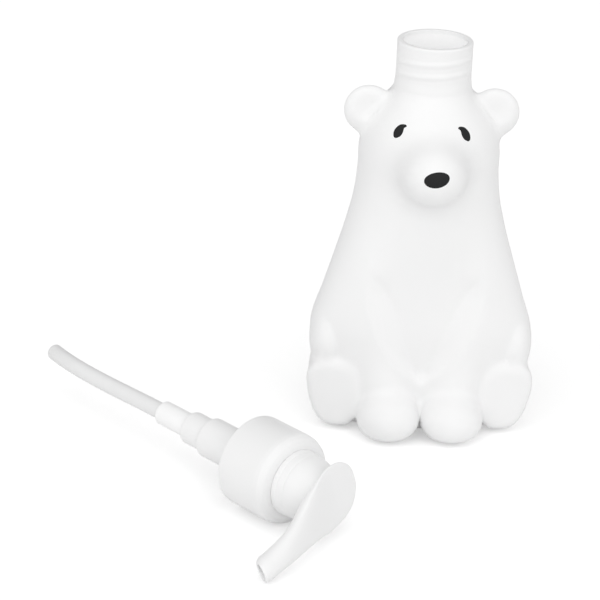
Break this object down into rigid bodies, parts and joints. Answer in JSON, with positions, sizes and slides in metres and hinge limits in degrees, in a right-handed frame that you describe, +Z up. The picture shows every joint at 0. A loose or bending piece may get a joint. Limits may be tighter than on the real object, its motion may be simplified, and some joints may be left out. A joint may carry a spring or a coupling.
{
  "type": "bear shampoo dispenser",
  "caption": "Sitting bear bottle with a printed face and an open screw neck, with its spoon-headed lotion pump taken off and laid beside it.",
  "frame": {"origin": "middle of the whole set's bounding box, on the surface it stands on", "axes": "+Z up; the bear faces -Y; +X to the viewer's right; the pump lies to the bear's right, its head towards (0.672, -0.741, 0)"},
  "size_m": [0.1778, 0.1677, 0.1428],
  "materials": {
    "white_plastic": "satin moulded white",
    "natural_plastic": "translucent natural plastic",
    "black_ink": "printed black",
    "gasket_foam": "white foam",
    "spring_wire": "bright stainless steel"
  },
  "bodies": {
    "bottle": {"bear_bottle": "white_plastic", "eye_print_left": "black_ink", "eye_print_right": "black_ink", "nose_print": "black_ink"},
    "pump": {"housing": "natural_plastic", "chaplet": "white_plastic", "gasket": "gasket_foam", "dip_tube": "natural_plastic", "spring": "spring_wire"},
    "closure": {"closure": "white_plastic"},
    "plunger": {"piston": "natural_plastic"},
    "head": {"actuator": "white_plastic", "stem": "white_plastic", "stem_plug": "white_plastic"},
    "ball": {"check_ball": "spring_wire"}
  },
  "joints": [
    {"name": "pump_lift", "type": "slide", "parent": "bottle", "child": "pump", "axis": [0, 0, 1], "range_m": [0, 0.16]},
    {"name": "closure_turn", "type": "hinge", "parent": "pump", "child": "closure", "pos_m": [-0.0125, -0.0256, 0.016], "axis": [0.6717, -0.7408, 0], "continuous": true},
    {"name": "head_rise", "type": "slide", "parent": "pump", "child": "plunger", "axis": [0.6717, -0.7408, 0], "range_m": [0, 0.014], "deforming": ["spring"]},
    {"name": "head_twist", "type": "hinge", "parent": "plunger", "child": "head", "pos_m": [-0.0125, -0.0256, 0.016], "axis": [0.6717, -0.7408, 0], "range_deg": [-90, 0]},
    {"name": "ball_lift", "type": "slide", "parent": "pump", "child": "ball", "axis": [0.6717, -0.7408, 0], "range_m": [0, 0.0012]}
  ]
}
